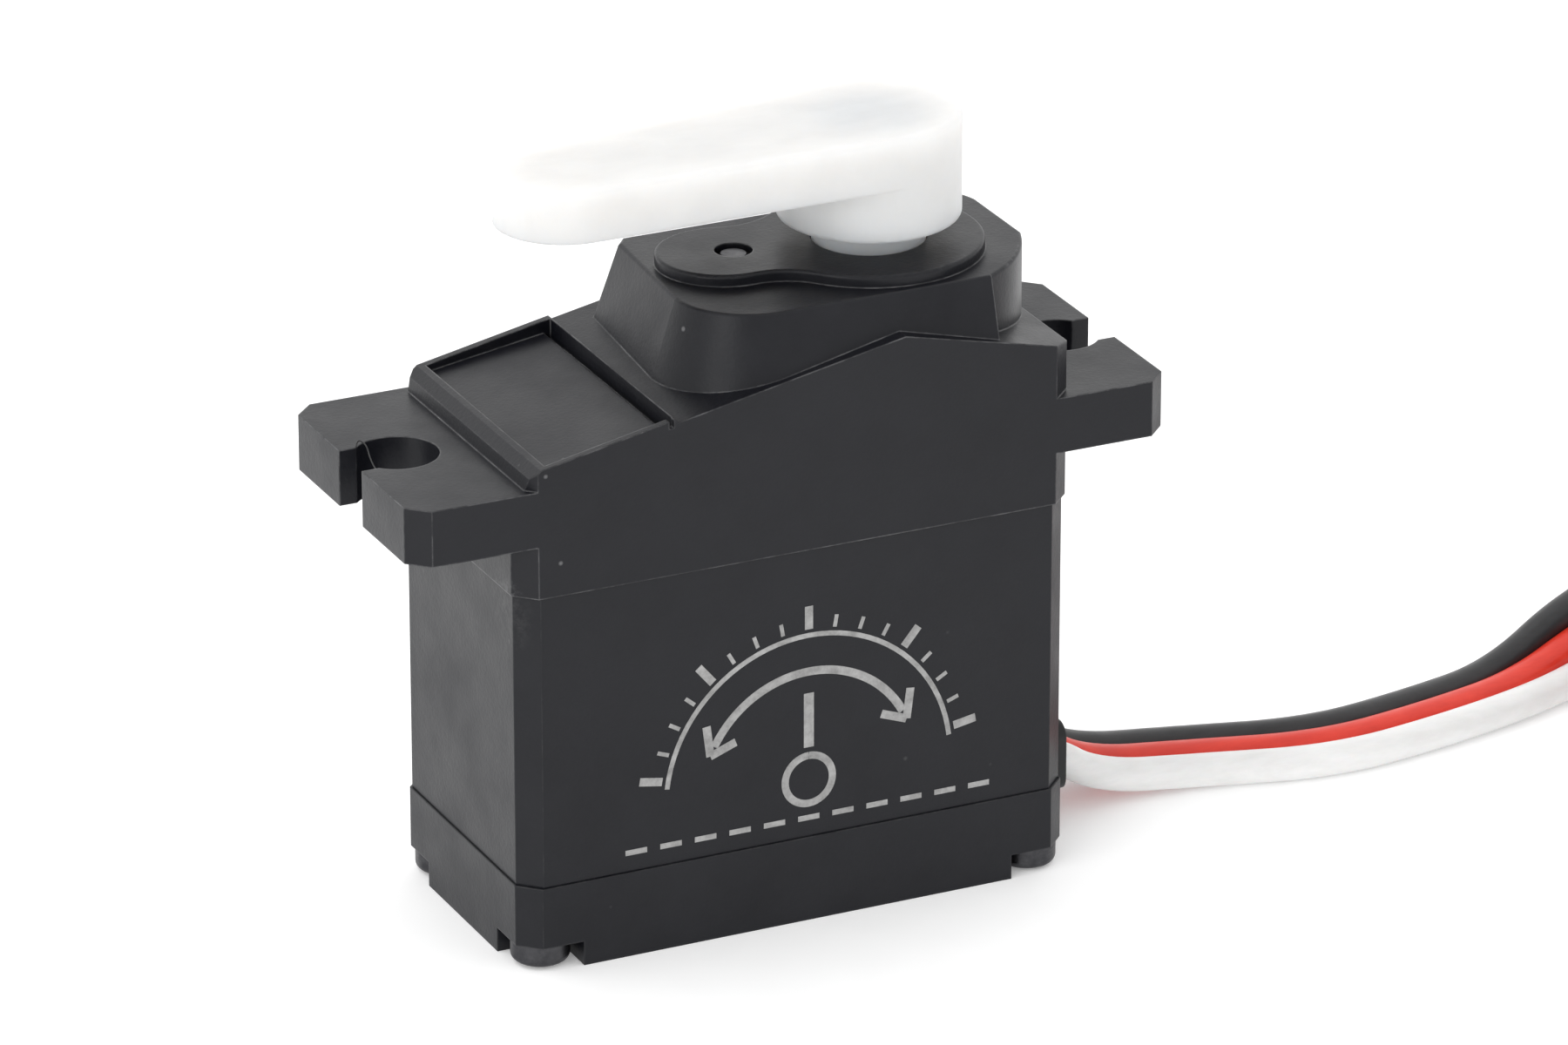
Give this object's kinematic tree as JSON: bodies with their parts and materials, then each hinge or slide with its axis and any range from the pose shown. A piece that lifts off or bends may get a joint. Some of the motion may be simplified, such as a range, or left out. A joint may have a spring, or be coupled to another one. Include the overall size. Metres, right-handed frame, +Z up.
{
  "type": "servo motor",
  "caption": "Small rotary servo motor with slotted mounting tabs, a geared output horn and a three-conductor lead.",
  "frame": {"origin": "on the floor under the midpoint between the two mounting tabs' ends", "axes": "+Z up along the output shaft, +X along the case from the plain end to the output and lead end, +Y across the case"},
  "size_m": [0.0743, 0.0209, 0.0304],
  "materials": {
    "black_plastic": "fine moulded texture",
    "white_nylon": "satin",
    "steel": "machined",
    "zinc_steel": "black oxide",
    "brass": "machined",
    "copper": "enamelled wire",
    "magnet": "sintered",
    "core_steel": "stamped laminations",
    "dark_plastic": "moulded",
    "board_green": "solder mask",
    "ceramic_tan": "ceramic",
    "solder": "reflowed solder",
    "red_wire": "soft insulation",
    "white_wire": "soft insulation",
    "black_wire": "soft insulation",
    "grey_wire": "ribbon of three conductors",
    "tie_plastic": "plastic coated band"
  },
  "bodies": {
    "case": {"upper_case": "black_plastic", "middle_case": "black_plastic", "bottom_cover": "black_plastic", "case_screws": "zinc_steel", "idler_pin": "steel", "motor_can": "steel", "motor_end_cap": "dark_plastic", "motor_magnets": "magnet", "motor_brushes": "brass", "motor_terminals": "brass", "sensor_body": "dark_plastic", "sensor_track": "dark_plastic", "sensor_wires": "red_wire", "circuit_board": "board_green", "controller_chip": "dark_plastic", "driver_chips": "dark_plastic", "capacitors": "ceramic_tan", "solder_joints": "solder", "lead_grommet": "dark_plastic", "lead_white": "white_wire", "lead_red": "red_wire", "lead_black": "black_wire", "tail_white": "white_wire", "tail_red": "red_wire", "tail_black": "black_wire", "lead_coil": "grey_wire", "lead_tie": "tie_plastic", "plug_housing": "dark_plastic", "plug_contacts": "brass"},
    "output": {"output_gear": "white_nylon", "servo_horn": "white_nylon", "sensor_rotor": "white_nylon", "sensor_wiper": "brass"},
    "third_gear": {"gear_3": "white_nylon"},
    "second_gear": {"gear_2": "white_nylon"},
    "first_gear": {"gear_1": "white_nylon"},
    "motor_rotor": {"motor_shaft": "steel", "motor_armature": "core_steel", "motor_windings": "copper", "motor_commutator": "copper", "motor_pinion": "brass"}
  },
  "joints": [
    {"name": "motor_turn", "type": "hinge", "parent": "case", "child": "motor_rotor", "pos_m": [-0.00455, 0, 0.02], "axis": [0, 0, 1], "range_deg": [-2808, 2808]},
    {"name": "first_gear_turn", "type": "hinge", "parent": "case", "child": "first_gear", "pos_m": [0.0004, 0.00073, 0.02], "axis": [0, 0, 1], "range_deg": [-936.5, 936.5]},
    {"name": "second_gear_turn", "type": "hinge", "parent": "case", "child": "second_gear", "pos_m": [0.00575, 0, 0.02], "axis": [0, 0, 1], "range_deg": [-360.5, 360.5]},
    {"name": "third_gear_turn", "type": "hinge", "parent": "case", "child": "third_gear", "pos_m": [0.0004, 0.00073, 0.02], "axis": [0, 0, 1], "range_deg": [-180.5, 180.5]},
    {"name": "output_turn", "type": "hinge", "parent": "case", "child": "output", "pos_m": [0.00575, 0, 0.02], "axis": [0, 0, 1], "range_deg": [-90.5, 90.5]}
  ],
  "couplings": [
    {"joint": "first_gear_turn", "follows": "motor_turn", "ratio": -0.33333},
    {"joint": "second_gear_turn", "follows": "motor_turn", "ratio": 0.12821},
    {"joint": "third_gear_turn", "follows": "motor_turn", "ratio": -0.064103},
    {"joint": "output_turn", "follows": "motor_turn", "ratio": 0.032051}
  ]
}
